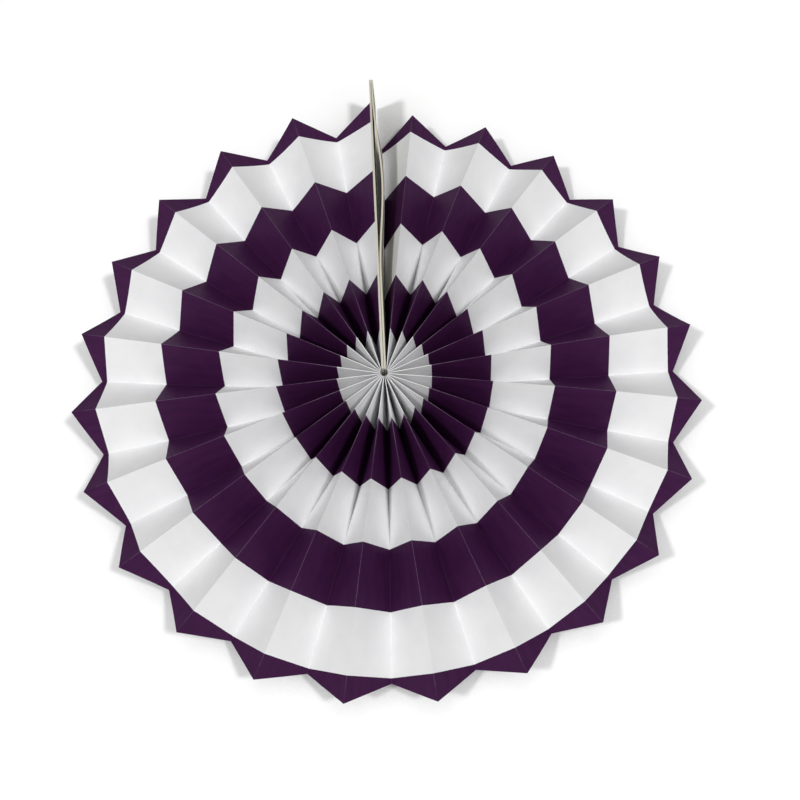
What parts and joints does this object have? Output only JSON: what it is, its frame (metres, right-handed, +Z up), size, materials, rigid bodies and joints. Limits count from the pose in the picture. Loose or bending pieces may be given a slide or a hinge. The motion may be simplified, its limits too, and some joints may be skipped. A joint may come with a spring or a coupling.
{
  "type": "paper fan rosette",
  "caption": "Round wall decoration: a striped sheet folded into accordion pleats, opened into a flat disc with a zigzag rim and joined along one radius by two stiff end cards.",
  "frame": {"origin": "centre of the hanging hole, midway through the two end cards", "axes": "+Z up along the seam from the hub to the hanging hole, -Y out of the front of the fan, +X to the right seen from the front, along the hole"},
  "size_m": [0.3981, 0.031, 0.4178],
  "materials": {
    "printed_paper": "matt white craft paper printed on both faces with equal purple stripes across the strip",
    "greyboard": "plain matt pasteboard with pale cut edges",
    "tissue_tape": "matt double-sided tissue tape",
    "thread": "twisted cotton thread"
  },
  "bodies": {
    "root": {"pleated_paper": "printed_paper", "left_card": "greyboard", "right_card": "greyboard", "joining_tape": "tissue_tape", "centre_thread": "thread"}
  },
  "joints": []
}
